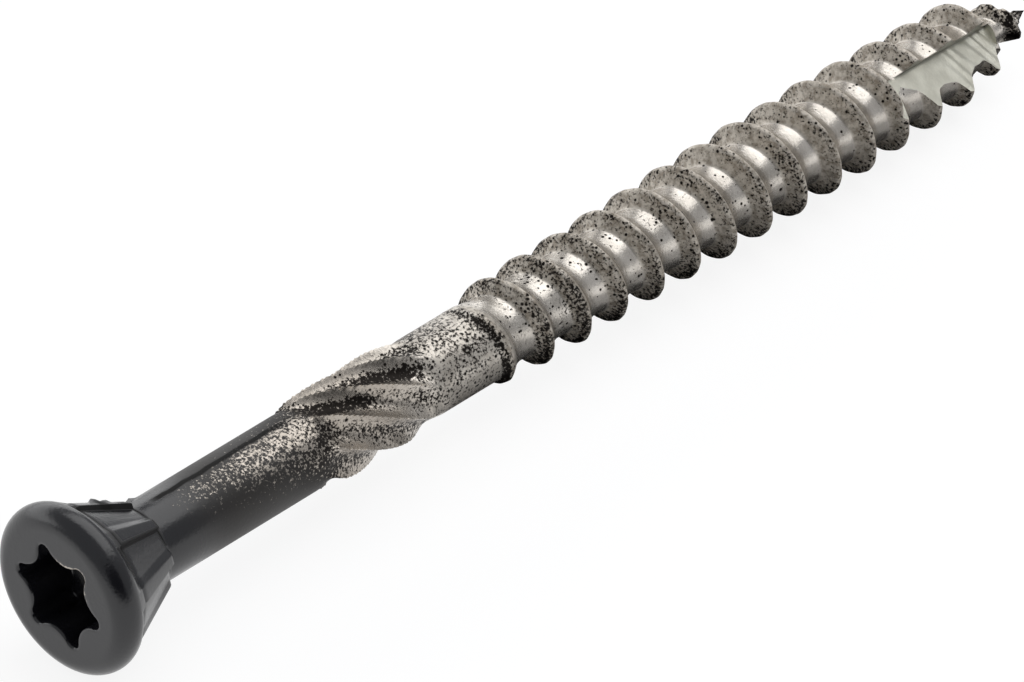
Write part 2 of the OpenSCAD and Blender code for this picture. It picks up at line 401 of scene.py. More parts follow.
# %% Strip of the thread
TURN_STEPS = ROUND // 2
LEAD_IN = 90
NEEDLE_L = 0.15
ACROSS = np.array([
    -PITCH / 2, -0.75, -0.5, -0.42, -0.37, -0.32, -0.27, -0.2, -0.14, -0.105, -0.08, -0.04,
    0.0, 0.04, 0.075, 0.105, 0.15, 0.3, 0.46, 0.58, 0.66, 0.75, 0.95])
CORE_ENDS = [THREAD_START + 0.6, THREAD_START + 2.0]
POINT_LEFT = (1.2, 0.85, 0.58, 0.23, 0.0)
POINT_SHARE = (1.0, 0.78, 0.48, 0.22, 0.0)


def core_radius(z):
    """Radius between the crests: shank, then core, then the taper of the point."""
    at = CORE_ENDS + [SCREW_L - left * POINT_L for left in POINT_LEFT]
    return np.interp(z, at, [SHANK_R, CORE_R] + [share * CORE_R for share in POINT_SHARE])


FIRST_TURN = ((0.0, 0.0), (0.4, 0.35), (2.4, 1.0))
FULL_TURNS = ((0.25, 0.32), (0.45, 1.0), (0.65, 0.9))
LAST_TURNS = ((0.85, 1.0), (0.55, 0.66), (0.37, 0.44), (0.25, 0.34), (0.13, 0.25), (0.05, 0.0))


def crest_radius(z):
    """Radius over the crest: a low first turn, the growth to the full thread, and the
    last turns, which shrink with the point."""
    at = []
    radius = []
    for past_start, height in FIRST_TURN:
        at.append(THREAD_START + past_start)
        radius.append(SHANK_R + height * (THREAD_FIRST_R - SHANK_R))
    for share, height in FULL_TURNS:
        at.append(THREAD_START + share * (SCREW_L - THREAD_START))
        radius.append(THREAD_FIRST_R + height * (THREAD_R - THREAD_FIRST_R))
    for left, height in LAST_TURNS:
        at.append(SCREW_L - left * POINT_L)
        radius.append(height * THREAD_LAST_R)
    return np.interp(z, at, radius)


FOOT_BEND = 0.45
CREST_BEND = 0.07
CREST_LEAN = 0.1


def thread_share(x):
    """Height of the section, from 0 to 1, at x mm from the middle of the crest. Each
    flank is a straight slope, and the lower of the two is w. Its foot is hollowed by
    (w + sqrt(w^2 + k^2)) / 2 with a wide bend k, and its upper edge is rounded the same
    way with a small one. The crest leans to the head by a tenth of the height."""
    head_side = (x + CREST_W / 2 + HEAD_FLANK) / HEAD_FLANK
    point_side = (CREST_W / 2 + POINT_FLANK - x) / POINT_FLANK
    w = np.minimum(head_side, point_side)
    hollow = (w + np.sqrt(w ** 2 + FOOT_BEND ** 2)) / 2
    height = (hollow + 1 - np.sqrt((hollow - 1) ** 2 + CREST_BEND ** 2)) / 2
    return height - CREST_LEAN * np.clip(0.5 - x / CREST_W, 0, 1) * (w > 0.3)


SAMPLE_Z = np.array([26.0, 40.0, 50.0])
print("crest at", SAMPLE_Z, "mm:", crest_radius(SAMPLE_Z).round(2))
print("core there:", core_radius(SAMPLE_Z).round(2))

# %% [markdown]
# ### Worn crest and burred tip
# The rolls don't leave a perfect crest, and the dies that pinch the point off press
# crumbs of steel on it. Sines and bumps on the radius stand for both.

# %% Points of the wound strip
CREST_WAVES = ((0.012, 23.0, 1), (0.01, 8.3, 0), (0.006, 3.1, 2))


def wobble(a):
    """Small unevenness along the winding, in mm: three sines, each of its own height,
    period and start, whose periods don't match a turn."""
    return sum(height * np.sin(a / period + start) for height, period, start in CREST_WAVES)


BURR_R = 0.4
BURR_FULL = 0.5
BURR_END = 1.35
BURRS_FADE = (SCREW_L - NEEDLE_L, SCREW_L - 0.5)
TIP_LUMPS = (
    (59.25, 55, 0.24, 0.2), (58.85, 172, 0.24, 0.17), (58.35, 70, 0.2, 0.18),
    (59.0, 115, 0.14, 0.14), (57.9, 20, 0.12, 0.2), (57.3, 168, 0.25, 0.16))


def burrs(z, a):
    """Lumps of pressed steel at the tip, as bumps on the radius that are full near
    their middle and end at BURR_END sizes from it. Each is a place along and round the
    screw, a height and a size, and the way round counts as on a radius of BURR_R."""
    total = 0.0
    for at_z, at_a, height, size in TIP_LUMPS:
        round_way = np.radians(turned_from(a, at_a)) * BURR_R
        distance = np.hypot(z - at_z, round_way) / size
        total = total + height * smooth(BURR_END, BURR_FULL, distance)
    return total * smooth(*BURRS_FADE, z)


def wound_points(step, x):
    """Points of the strip for arrays of steps and of places across the pitch. The
    angle gives the crest's distance, the place is the offset along the axis, and the
    radius is the core plus the share of the thread's height."""
    a = step * 360.0 / TURN_STEPS - LEAD_IN
    crest_z = THREAD_START + PITCH * a / 360
    z = crest_z + x
    core = core_radius(z)
    height = np.maximum(crest_radius(crest_z) - core, 0)
    worn = 1 + wobble(a) / np.maximum(height, 0.2) * (height > 0.05)
    r = core + thread_share(x) * height * worn + burrs(z, a)
    return np.stack([r * cosd(a), r * sind(a), z], axis=-1)


STRIP_TURNS = (SCREW_L - NEEDLE_L - THREAD_START) / PITCH + LEAD_IN / 360 + 0.5
STRIP_STEPS = int(STRIP_TURNS * TURN_STEPS)
WHOLE = STRIP_STEPS - TURN_STEPS
strip = wound_points(np.arange(WHOLE + 1)[:, None], ACROSS[None, :])
front = wound_points(np.arange(WHOLE + 1, STRIP_STEPS + 1), ACROSS[0])
print("thread:", WHOLE, "steps of", len(ACROSS), "points, and", len(front), "on the last turn's front")

# %% [markdown]
# ## One closed mesh
# The rings and the strip share the last ring: the strip has half as many steps in
# a turn, so each of them meets two steps of the ring. Where the first turn runs
# back over its own start, a fan of faces closes the skin, and another closes it at
# the point. All faces are made as arrays of corner numbers.

# %% Join the rings and the strip
def ring_grid(rings):
    """Corners and faces of the rings: a grid of quads, closed round the screw, and a
    fan over the first ring, round a corner at the bottom of the star."""
    z = np.array([np.full(ROUND, depth) for depth, _ in rings])
    r = np.array([radius for _, radius in rings])
    points = np.stack([r * cosd(AROUND), r * sind(AROUND), z], axis=-1).reshape(-1, 3)
    number = np.arange(len(points)).reshape(len(rings), ROUND)
    after = np.roll(number, -1, axis=1)
    quads = np.stack([number[:-1], number[1:], after[1:], after[:-1]], axis=-1).reshape(-1, 4)
    return points, number, quads


ring_points, ring_number, ring_quads = ring_grid(body_rings)
base = ring_number[-1]
n_across = len(ACROSS)
first_strip = len(ring_points)
first_front = first_strip + strip.shape[0] * n_across
apex = first_front + len(front)
pole = apex + 1
axis_points = [(0, 0, SCREW_L), (0, 0, STAR_DEPTH + STAR_CONE_H)]
corners = np.concatenate([ring_points, strip.reshape(-1, 3), front, axis_points])

row_start = np.concatenate([
    first_strip + np.arange(WHOLE + 1) * n_across,
    first_front + np.arange(len(front))])
strip_number = first_strip + np.arange((WHOLE + 1) * n_across).reshape(WHOLE + 1, n_across)
next_turn = row_start[TURN_STEPS:TURN_STEPS + WHOLE + 1, None]
strip_number = np.concatenate([strip_number, next_turn], axis=1)
wound_quads = np.stack([
    strip_number[:-1, :-1], strip_number[:-1, 1:], strip_number[1:, 1:], strip_number[1:, :-1]],
    axis=-1).reshape(-1, 4)

turn_base = np.roll(base, LEAD_IN * ROUND // 360)
i = np.arange(TURN_STEPS - 1)
skirt = np.concatenate([
    np.stack([turn_base[2 * i], turn_base[2 * i + 1], row_start[i]], axis=-1),
    np.stack([turn_base[2 * i + 1], row_start[i + 1], row_start[i]], axis=-1),
    np.stack([turn_base[2 * i + 1], turn_base[2 * i + 2], row_start[i + 1]], axis=-1)])[:, ::-1]
seam_mid = turn_base[-1]
seam_path = np.concatenate([
    [turn_base[0]], strip_number[0], [row_start[TURN_STEPS - 1], turn_base[-2]]])
seam = np.stack([np.full(len(seam_path) - 1, seam_mid), seam_path[1:], seam_path[:-1]], axis=-1)

j = np.arange(WHOLE + 1, STRIP_STEPS)
tip = np.stack([row_start[j], np.full(len(j), apex), row_start[j + 1]], axis=-1)
tip_turn = np.stack([
    np.full(n_across, row_start[WHOLE + 1]), strip_number[WHOLE, :-1], strip_number[WHOLE, 1:]],
    axis=-1)
tip_close = np.array([[row_start[WHOLE + 1], row_start[STRIP_STEPS], apex]])
bottom = np.stack([np.full(ROUND, pole), ring_number[0], np.roll(ring_number[0], -1)], axis=-1)
print(len(corners), "corners")

# %% [markdown]
# The faces of each stretch are wound one way, and it is easy to get one of them
# inside out. The volume under the faces tells: it is a sum of corner products, and
# a closed skin that faces outwards has a positive one.

# %% Faces that point outwards
def as_triangles(quads):
    return np.concatenate([quads[:, [0, 1, 2]], quads[:, [0, 2, 3]]])


def volume_under(points, triangles):
    """Sum of a . (b x c) / 6 over the triangles, in the points' own units."""
    a, b, c = (points[triangles[:, k]] for k in range(3))
    return float(np.einsum("ij,ij->i", a, np.cross(b, c)).sum() / 6)


def edge_faults(triangles):
    """Number of edges that aren't used exactly once in each direction."""
    edges = np.concatenate([triangles[:, [0, 1]], triangles[:, [1, 2]], triangles[:, [2, 0]]])
    size = triangles.max() + 1
    forward = edges[:, 0] * size + edges[:, 1]
    backward = edges[:, 1] * size + edges[:, 0]
    return int((~np.isin(forward, backward)).sum() + len(forward) - len(np.unique(forward)))


def add_mesh(name, points, faces):
    """A mesh object from an array of points in metres and a list of face arrays."""
    mesh = bpy.data.meshes.new(name)
    mesh.from_pydata(points.tolist(), [], [f for part in faces for f in part.tolist()])
    mesh.validate()
    piece = bpy.data.objects.new(name, mesh)
    bpy.context.scene.collection.objects.link(piece)
    return piece


triangle_parts = [skirt, seam, tip, tip_turn, tip_close, bottom]
all_faces = [part[:, ::-1] for part in [ring_quads, wound_quads] + triangle_parts]
all_triangles = np.concatenate([
    as_triangles(part) if part.shape[1] == 4 else part for part in all_faces])
print("edge faults:", edge_faults(all_triangles))
print("volume:", round(volume_under(corners, all_triangles), 1), "mm3")

# %% [markdown]
# ## Slot in the point
# A small saw mills a slot into the last turns, so that the point clears its own
# chips. The cutter is a closed block: its floor slopes to the axis and has the
# faint ripples that the saw's teeth leave. Taking it away from the screw with a
# Boolean modifier gives clean edges through the turns of the thread.

# %% Cut the slot
SLOT_PLACE = (
    Matrix.Rotation(math.radians(SLOT_TURN), 4, "Z")
    @ Matrix.Translation(Vector((CORE_R, 0, SCREW_L - SLOT_L)))
    @ Matrix.Rotation(math.radians(-SLOT_SLOPE), 4, "Y")
)
BLOCK_REACH = 5.0
MARK_H = 0.02
MARK_SLANT = 0.5
RADIANS_PER_MM = 9.0
MARKS_GROW = (2.5, 5.0)


def slot_block():
    """A block whose lower face is the slot's floor: its height is MARK_H times a sine
    across slanted saw marks, and a second sine in the phase makes them uneven. Its upper
    face is flat, and its four sides join the two."""
    across = np.linspace(-SLOT_WALL, BLOCK_REACH, 36)
    along = np.linspace(-1.0, SLOT_L - SLOT_STOP, 150)
    y, z = np.meshgrid(across, along, indexing="ij")
    phase = (z - MARK_SLANT * y) * RADIANS_PER_MM + np.sin(z * 3.1)
    marks = MARK_H * np.sin(phase) * smooth(*MARKS_GROW, z)
    floor = np.stack([marks, y, z], axis=-1)
    top = np.stack([np.full_like(y, BLOCK_REACH), y, z], axis=-1)
    n, m = y.shape
    low_number = np.arange(n * m).reshape(n, m)
    floor_faces = np.stack([
        low_number[:-1, :-1], low_number[:-1, 1:], low_number[1:, 1:], low_number[1:, :-1]], axis=-1)
    rim = np.concatenate([
        low_number[:-1, 0], low_number[-1, :-1], low_number[:0:-1, -1], low_number[0, :0:-1]])
    after = np.roll(rim, -1)
    sides = np.stack([rim, after, after + n * m, rim + n * m], axis=-1)
    faces = [floor_faces.reshape(-1, 4), sides, (floor_faces.reshape(-1, 4) + n * m)[:, ::-1]]
    points = np.concatenate([floor.reshape(-1, 3), top.reshape(-1, 3)])
    return placed(points, SLOT_PLACE), faces


# %% [markdown]
# ## Shader helpers
# A material is a small graph of nodes. These helpers keep the graphs short: they add
# a node and set its inputs, do arithmetic, spread a value over a range, read a value
# of the mesh's corners, mix colours, and make and use groups.

# %% Helpers for nodes
def set_input(tree, socket, value):
    """Links the input to `value` if that is a socket too. Anything else is its
    constant."""
    if isinstance(value, bpy.types.NodeSocket):
        tree.links.new(value, socket)
    else:
        socket.default_value = value


def add_node(tree, kind, values=None, **settings):
    """A node of the given kind. The settings are its own properties, and `values` sets
    its inputs by name or number."""
    node = tree.nodes.new(kind)
    for key, value in settings.items():
        setattr(node, key, value)
    for key, value in (values or {}).items():
        set_input(tree, node.inputs[key], value)
    return node


def calc(tree, operation, a, b=0.0, c=0.0):
    """One step of arithmetic on values."""
    return add_node(tree, "ShaderNodeMath", {0: a, 1: b, 2: c}, operation=operation).outputs[0]


def ramp(tree, value, low, high, start=0.0, end=1.0):
    """`value` between low and high, spread smoothly from start to end."""
    settings = {"Value": value, "From Min": low, "From Max": high, "To Min": start, "To Max": end}
    node = add_node(tree, "ShaderNodeMapRange", settings, interpolation_type="SMOOTHSTEP")
    return node.outputs[0]


def corner_value(tree, name):
    """The mesh's own attribute of that name, which has a value for each corner."""
    return add_node(tree, "ShaderNodeAttribute", attribute_name=name).outputs["Fac"]


def mix_colour(tree, share, a, b):
    """Colour a where the share is 0, colour b where it is 1."""
    node = add_node(tree, "ShaderNodeMix", {"Factor": share}, data_type="RGBA")
    set_input(tree, node.inputs[6], a)
    set_input(tree, node.inputs[7], b)
    return node.outputs[2]


def new_group(name, inputs, outputs):
    """An empty node group with named sockets. Returns its tree, inputs and output."""
    tree = bpy.data.node_groups.new(name, "ShaderNodeTree")
    for socket, kind in inputs:
        tree.interface.new_socket(socket, in_out="INPUT", socket_type=kind)
    for socket, kind in outputs:
        tree.interface.new_socket(socket, in_out="OUTPUT", socket_type=kind)
    return tree, tree.nodes.new("NodeGroupInput"), tree.nodes.new("NodeGroupOutput")


def use_group(tree, group, values=None):
    """A node that holds a group, with the group's inputs set by name."""
    return add_node(tree, "ShaderNodeGroup", values, node_tree=group)


# %% [markdown]
# ## Place on the screw
# Patterns follow the screw, so this group turns the object's coordinates back to
# the screw's own frame in millimetres, with its axis as z. The distance from the
# head is then z itself.

# %% Group: place on the screw
FLOAT = "NodeSocketFloat"
VECTOR = "NodeSocketVector"

place_group, _, place_out = new_group("place_on_screw", [], [("Place", VECTOR), ("Along", FLOAT)])
coordinates = place_group.nodes.new("ShaderNodeTexCoord")
to_screw = add_node(
    place_group, "ShaderNodeMapping", {"Vector": coordinates.outputs["Object"]},
    vector_type="TEXTURE")
to_screw.inputs["Location"].default_value = LAY.to_translation() * MM
to_screw.inputs["Rotation"].default_value = LAY.to_euler()
to_screw.inputs["Scale"].default_value = (MM, MM, MM)
split = add_node(place_group, "ShaderNodeSeparateXYZ", {0: to_screw.outputs[0]})
place_group.links.new(to_screw.outputs[0], place_out.inputs["Place"])
place_group.links.new(split.outputs["Z"], place_out.inputs["Along"])

# %% [markdown]
# ## Paint spray
# The head is dipped in thick black spray, and what misses it lands further along.
# How thick it lies at a corner is the mesh's attribute "spray". A blotchy noise is cut
# at that level, so that the skin of paint opens into mottles, and round drops of two
# sizes lie beyond, one to a cell and only in the cells whose random number is low
# enough.

# %% Group: paint spray
MOTTLES_PER_MM = 7.5
MOTTLE_EDGE = (-0.075, 0.065)
CLOUDS_PER_MM = 0.4
CLOUD_CHANGE = 0.25
DROP_EDGE = (0.0, 0.16)
DROP_LEVELS = (0.26, 0.5)
DROP_SHARES = (0.04, 0.8)
FINE_PER_MM = 5.0
FINE_RADII = (0.2, 0.45)
LARGE_PER_MM = 2.6
LARGE_RADII = (0.16, 0.32)
LARGE_SHARE = 0.5


def drops(tree, place, cells, share, radii):
    """Round drops: distance to each cell's point against a radius of its own, for the
    cells whose random number is under `share`."""
    settings = {"Vector": place, "Scale": cells, "Randomness": 1.0}
    cell = add_node(tree, "ShaderNodeTexVoronoi", settings)
    random = add_node(tree, "ShaderNodeSeparateColor", {0: cell.outputs["Color"]})
    radius = ramp(tree, random.outputs[1], 0, 1, *radii)
    inside = calc(tree, "SUBTRACT", radius, cell.outputs["Distance"])
    edge = ramp(tree, inside, *DROP_EDGE)
    chosen = calc(tree, "LESS_THAN", random.outputs[0], share)
    return calc(tree, "MULTIPLY", edge, chosen)


spray_group, spray_in, spray_out = new_group(
    "paint_spray", [("Place", VECTOR), ("Level", FLOAT)], [("Cover", FLOAT)])
place = spray_in.outputs["Place"]
mottle = add_node(spray_group, "ShaderNodeTexNoise", {
    "Vector": place, "Scale": MOTTLES_PER_MM, "Detail": 3.0, "Roughness": 0.7})
cloud = add_node(spray_group, "ShaderNodeTexNoise", {
    "Vector": place, "Scale": CLOUDS_PER_MM, "Detail": 1.0})
uneven = calc(spray_group, "SUBTRACT", cloud.outputs[0], 0.5)
level = calc(spray_group, "MULTIPLY_ADD", uneven, CLOUD_CHANGE, spray_in.outputs["Level"])
over = calc(spray_group, "SUBTRACT", level, mottle.outputs[0])
skin = ramp(spray_group, over, *MOTTLE_EDGE)
share = ramp(spray_group, level, *DROP_LEVELS, *DROP_SHARES)
large_share = calc(spray_group, "MULTIPLY", share, LARGE_SHARE)
fine_drops = drops(spray_group, place, FINE_PER_MM, share, FINE_RADII)
large_drops = drops(spray_group, place, LARGE_PER_MM, large_share, LARGE_RADII)
all_drops = calc(spray_group, "MAXIMUM", fine_drops, large_drops)
cover = calc(spray_group, "MAXIMUM", skin, all_drops)
spray_group.links.new(cover, spray_out.inputs["Cover"])

# %% [markdown]
# ## Rolled steel
# Bare steel is a warm metal whose brightness changes a little in wide patches. The
# rolls leave a stain on it that is darker in some small patches than in others, and
# its surface is slightly rough. Three noises in the screw's own frame give all that.

# %% Group: steel grain
TONE_RANGE = (0.3, 0.7)
PATCH_RANGE = (0.36, 0.62)

grain_group, grain_in, grain_out = new_group(
    "steel_grain", [("Place", VECTOR)], [("Tone", FLOAT), ("Patch", FLOAT), ("Height", FLOAT)])


def grain_noise(per_mm, roughness):
    """Noise with `per_mm` of its cells to a millimetre, and detail of that roughness."""
    settings = {
        "Vector": grain_in.outputs["Place"], "Scale": per_mm, "Detail": 4.0,
        "Roughness": roughness}
    return add_node(grain_group, "ShaderNodeTexNoise", settings).outputs[0]


tone = ramp(grain_group, grain_noise(1.3, 0.5), *TONE_RANGE)
patch = ramp(grain_group, grain_noise(3.4, 0.7), *PATCH_RANGE)
grain_group.links.new(tone, grain_out.inputs["Tone"])
grain_group.links.new(patch, grain_out.inputs["Patch"])
grain_group.links.new(grain_noise(7.0, 0.6), grain_out.inputs["Height"])

# %% [markdown]
# ## Paint over steel
# One Principled shader takes its values from steel and paint, mixed by the cover.
# Paint is neutral, black and glossy on the head, and thinner, browner and flatter
# along the screw. Its drops on the reamer and the thread reflect like dark metal, so
# they look black. Steel is dull where the rolls pressed it, and a brown haze lies on
# it up to the end of the reamer. The attribute "seam" paints what is blackest of all,
# without any shine: painted shadows in grooves and along outlines, and a painted dark reflection line.

# %% Materials
HAZE = 0.6
HAZE_FADES = (17.0, 22.5)
STEEL_HAZE = (0.34, 0.29, 0.24, 1)
STAIN_DARK = (0.3, 0.26, 0.21, 1)
STAIN_LIGHT = (0.6, 0.55, 0.48, 1)
STEEL_METALLIC = 0.88
DULL_METALLIC = -0.4
DULL_ROUGHNESS = 0.18

HEAD_PAINT = (0.009, 0.009, 0.0115, 1)
THIN_PAINT = (0.013, 0.01, 0.008, 1)
PAINT_THINS = (5.0, 9.0)
PAINT_ROUGHNESS = (0.2, 0.55)
PAINT_DEEPENS = (11.0, 15.0)
DEEP_METALLIC = 0.85
PAINT_HEIGHT = 0.6
PAINTED_SHADE_BLACK = (0.004, 0.0035, 0.003, 1)


def painted_steel(name, steel_dark, steel_light, roughness, bare):
    """Steel under paint. `bare` is 1 where a tool has cut paint and stain away, and
    else 0."""
    material = bpy.data.materials.new(name)
    material.use_nodes = True
    tree = material.node_tree
    tree.nodes.clear()
    kept = 1.0 - bare
    where = use_group(tree, place_group)
    place = where.outputs["Place"]
    along = where.outputs["Along"]
    # The "seam" attribute holds painted shadows and a painted reflection line, drawn black and matt.
    seam = corner_value(tree, "seam")
    dull = calc(tree, "MULTIPLY", corner_value(tree, "dull"), kept)
    spray = use_group(tree, spray_group, {"Place": place, "Level": corner_value(tree, "spray")})
    cover = calc(tree, "MULTIPLY", spray.outputs["Cover"], kept)

    metal = use_group(tree, grain_group, {"Place": place})
    clean = mix_colour(tree, metal.outputs["Tone"], steel_dark, steel_light)
    haze = ramp(tree, along, *HAZE_FADES, HAZE * kept, 0.0)
    hazed = mix_colour(tree, haze, clean, STEEL_HAZE)
    stained = mix_colour(tree, metal.outputs["Patch"], STAIN_DARK, STAIN_LIGHT)
    steel = mix_colour(tree, dull, hazed, stained)
    thin = ramp(tree, along, *PAINT_THINS)
    paint = mix_colour(tree, thin, HEAD_PAINT, THIN_PAINT)
    painted = mix_colour(tree, cover, steel, paint)

    shine = calc(tree, "MULTIPLY_ADD", dull, DULL_METALLIC, STEEL_METALLIC)
    metallic = calc(tree, "MULTIPLY", calc(tree, "SUBTRACT", 1.0, cover), shine)
    deep = ramp(tree, along, *PAINT_DEEPENS, 0.0, DEEP_METALLIC)
    rough = calc(tree, "MULTIPLY_ADD", dull, DULL_ROUGHNESS, roughness)
    flat = ramp(tree, thin, 0.0, 1.0, *PAINT_ROUGHNESS)
    matt = calc(tree, "MULTIPLY_ADD", calc(tree, "SUBTRACT", 1.0, flat), seam, flat)
    height = calc(tree, "MULTIPLY_ADD", cover, PAINT_HEIGHT, metal.outputs["Height"])
    bump = add_node(tree, "ShaderNodeBump", {
        "Height": height, "Strength": 0.35, "Distance": 0.00003})
    shader = add_node(tree, "ShaderNodeBsdfPrincipled", {
        "Base Color": mix_colour(tree, seam, painted, PAINTED_SHADE_BLACK),
        "Metallic": calc(tree, "MULTIPLY_ADD", deep, cover, metallic),
        "Roughness": add_node(tree, "ShaderNodeMix", {0: cover, 2: rough, 3: matt}).outputs[0],
        "Specular IOR Level": 0.62,
        "Normal": bump.outputs[0]})
    output = tree.nodes.new("ShaderNodeOutputMaterial")
    tree.links.new(shader.outputs[0], output.inputs[0])
    return material


rolled_steel = painted_steel(
    "rolled_steel", (0.58, 0.54, 0.485, 1), (0.74, 0.695, 0.635, 1), roughness=0.26, bare=0.0)
milled_steel = painted_steel(
    "milled_steel", (0.6, 0.585, 0.5, 1), (0.74, 0.725, 0.63, 1), roughness=0.36, bare=1.0)
print("materials:", rolled_steel.name, "and", milled_steel.name)

# %% [markdown]
# ## The screw in the scene
# The closed skin becomes a mesh in metres, and the block is taken away from it. What
# the block has cut keeps the block's material, so the slot is bare milled steel.

# %% Make the screw and cut its slot
screw = add_mesh("screw_body", laid_down(corners), all_faces)
screw.data.materials.append(rolled_steel)
block_points, block_faces = slot_block()
block_triangles = np.concatenate([as_triangles(part) for part in block_faces])
if volume_under(block_points, block_triangles) < 0:
    block_faces = [part[:, ::-1] for part in block_faces]
print("slot block: edge faults", edge_faults(block_triangles))
block = add_mesh("slot_block", laid_down(block_points), block_faces)
block.data.materials.append(milled_steel)
cut = screw.modifiers.new("slot", "BOOLEAN")
cut.operation = "DIFFERENCE"
cut.solver = "EXACT"
cut.material_mode = "TRANSFER"
cut.object = block
bpy.context.view_layer.update()
whole_screw = screw.evaluated_get(bpy.context.evaluated_depsgraph_get())
cut_mesh = bpy.data.meshes.new_from_object(whole_screw)
screw.modifiers.clear()
screw.data = cut_mesh
bpy.data.objects.remove(block)
cut_triangles = sum(len(face.vertices) - 2 for face in cut_mesh.polygons)
print("cut screw:", len(cut_mesh.vertices), "corners,", cut_triangles, "triangles")
print("materials:", [material.name for material in cut_mesh.materials])

# %% [markdown]
# ## Values for each corner
# Three values are worked out for each corner of the mesh and stored with it, and the
# material reads them. They follow from where the corner is in the screw's own frame:
# its distance along the screw, its angle, how much it faces the head, and how high up
# the thread's section it is. That height follows from the place across the pitch,
# because the crest of every turn is at a known distance for each angle.

# %% Corners of the cut mesh
SHARP_EDGE = math.radians(38)
THREAD_RISES = (THREAD_START - 0.2, THREAD_START + 0.6)

screw.data.shade_smooth()
screw.data.set_sharp_from_angle(angle=SHARP_EDGE)


def corner_array(collection, field, width):
    values = np.empty(len(collection) * width, dtype=np.float32)
    collection.foreach_get(field, values)
    return values.reshape(-1, width)


def corner_attribute(mesh, name, values):
    data = mesh.attributes.new(name, "FLOAT", "POINT").data
    data.foreach_set("value", np.asarray(values, dtype=np.float32))
    print(name, "from", round(float(values.min()), 2), "to", round(float(values.max()), 2))


def taken_back(points, matrix):
    """The points before `placed` turned and moved them by the matrix."""
    turn = np.array(matrix)
    return (points - turn[:3, 3]) @ turn[:3, :3]


point_way = np.array(LAY)[:3, 2]
facing = 0.5 - 0.5 * corner_array(cut_mesh.vertex_normals, "vector", 3) @ point_way
own = taken_back(corner_array(cut_mesh.vertices, "co", 3) / MM, LAY)
along = own[:, 2]
angle = np.degrees(np.arctan2(own[:, 1], own[:, 0]))
across = (((along - THREAD_START) / PITCH - angle / 360 + 0.5) % 1 - 0.5) * PITCH
on_thread = smooth(*THREAD_RISES, along)
height = thread_share(across) * on_thread

# %% [markdown]
# ### Spray
# The spray comes from the head's end, so it thins out along the screw, but it gathers
# at the tip, and its level is raised in a ring at the foot of the first turn. More of it
# lies on the side away from the top, which is painted shade, and on the shank a little
# less lies in a stripe along the top, which is a painted highlight. In the reamer it
# lies in the hollows and is worn off the ridges. On the thread a face that looks at the
# head catches more of it than the back of a turn; the lower part of such a face gets
# more as painted shade, and the crests of the upper left side get less as a painted
# highlight. It is also worn off the edge of the star's mouth, most on the camera's side,
# which is a painted highlight.

# %% Attribute "spray"
SPRAY_AT = (0.0, 5.5, 7.2, 8.6, 10.5, 13.5, 21.0, 24.0, 27.0, 34.0, 45.0, 57.0, 58.3, 59.1, 60.0)
SPRAY_LEVEL = (
    0.95, 0.8, 0.64, 0.575, 0.53, 0.5, 0.465, 0.43, 0.38, 0.345, 0.3, 0.28, 0.48, 0.56, 0.66)
UPPER_SIDE = 68.0
UPPER_LEFT = 45.0
SHANK_FADES = (12.5, 15.5)
BACKS_START = 22.0


def shaded_side(a):
    """0 on the screw's upper, lit side and 1 opposite, by the cosine of the angle. The spray adds
    paint by it as painted shade.
    """
    return 0.5 - 0.5 * cosd(a - UPPER_SIDE)


def upper_left(a):
    """1 within 25 degrees of the upper left side, and 0 past 50."""
    return 1 - smooth(25, 50, np.abs(turned_from(a, UPPER_LEFT)))


def shank_spray(z, a):
    """More by the angle away from the top, which is painted shade, a little less in a stripe along the
    top, which is a painted highlight, and more again near the upper silhouette and past it."""
    stripe = 0.07 * smooth(8, 28, np.abs(a - UPPER_SIDE)) - 0.03
    more = 0.42 * shaded_side(a) + stripe + 0.1 * smooth(52, 30, a)
    return more * (1 - smooth(*SHANK_FADES, z))


def reamer_spray(z, a):
    """More in the hollows of the upper left side and less on all ridges. A little more away from the
    top too, as painted shade, and less near the upper silhouette."""
    hollow = np.sin(np.pi * flute_phase(z, a))
    flutes = 0.16 * upper_left(a) * smooth(0.2, 0.9, hollow) - 0.16 * (1 - hollow)
    side = 0.08 * shaded_side(a) - 0.1 * smooth(44, 26, a) * smooth(-25, 5, a)
    return (flutes + side) * flute_depth(z)


def thread_spray(z, a, facing, height):
    """More towards the crest, most of all on the lower part of a flank that faces the head, where the
    extra paint is painted shade, and less on the crests of the upper left side, as a painted
    highlight, and on the backs of the turns."""
    towards = smooth(0.5, 0.85, facing)
    # Paint added on the lower side of the flanks is painted shade.
    lower = 0.11 * smooth(0.3, 0.7, shaded_side(a)) * towards
    crest = height * (0.07 + lower - 0.06 * upper_left(a))
    back = 0.1 * smooth(0.55, 0.2, facing) * (z > BACKS_START)
    return crest + towards * (0.035 + 0.05 * height) - back


def mouth_wear_and_highlight(own, angle):
    """The worn edge of the star's mouth: how near a corner is to the mouth's outline. The wear is
    real, and the extra bare steel on the side that the camera sees best is a painted highlight."""
    from_star = np.hypot(own[:, 0], own[:, 1]) - np.interp(angle % 360, AROUND, STAR, period=360)
    near = smooth(0.17, 0.12, np.abs(from_star - 0.03)) * smooth(0.2, 0.15, own[:, 2])
    return near * (0.43 + 0.12 * smooth(75, 45, np.abs(angle - 85)))


first_foot = smooth(0.3, 0.04, np.abs(across + 0.27))
first_foot = first_foot * smooth(25.0, 24.6, along) * smooth(23.4, 23.7, along)
level = np.interp(along, SPRAY_AT, SPRAY_LEVEL) + 0.11 * first_foot - mouth_wear_and_highlight(own, angle)
level = level + shank_spray(along, angle) + reamer_spray(along, angle)
corner_attribute(cut_mesh, "spray", level + thread_spray(along, angle, facing, height))

# %% [markdown]
# ### Dull steel
# The rolls leave the flanks that face the head and the crest dull, and the bottom of
# the thread bright. The collar before the thread is a little dull too.

